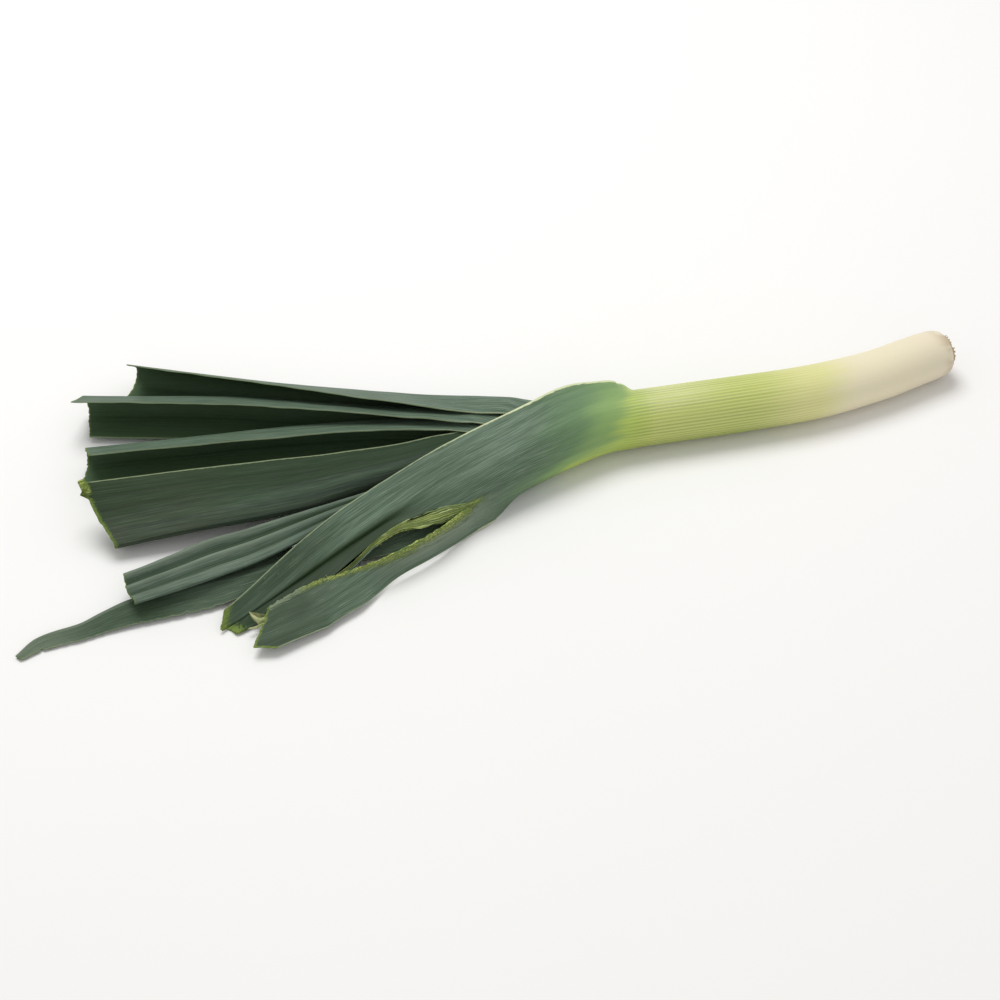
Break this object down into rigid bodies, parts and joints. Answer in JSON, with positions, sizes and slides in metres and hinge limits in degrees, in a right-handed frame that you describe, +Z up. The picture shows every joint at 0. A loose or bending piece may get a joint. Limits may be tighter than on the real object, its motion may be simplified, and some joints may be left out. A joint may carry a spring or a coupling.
{
  "type": "leek",
  "caption": "Whole leek lying on its side: straight ribbed shank with a trimmed root end, fanning into flat folded leaves, the front one split to a tear.",
  "frame": {"origin": "centre of the leek's footprint, on the surface it lies on", "axes": "+X along the leek's length, towards the root end; +Y towards the back leaves; +Z up from the surface it lies on"},
  "size_m": [0.5878, 0.271, 0.0409],
  "materials": {
    "shank": "smooth waxy skin with fine lengthwise ribs, ivory at the root to green at the collar",
    "roots": "dry, dull",
    "leaf_1": "matt waxy bloom",
    "leaf_2": "matt waxy bloom",
    "leaf_3": "matt waxy bloom",
    "leaf_4": "matt waxy bloom",
    "leaf_5": "matt waxy bloom",
    "leaf_6": "matt waxy bloom",
    "leaf_7": "matt, smooth"
  },
  "bodies": {
    "root": {"shaft": "shank", "root_plate": "roots", "leaf_1_split": "leaf_1", "leaf_2": "leaf_2", "leaf_3_long": "leaf_3", "leaf_4": "leaf_4", "leaf_5_pleated": "leaf_5", "leaf_6": "leaf_6", "leaf_7_heart": "leaf_7"}
  },
  "joints": []
}
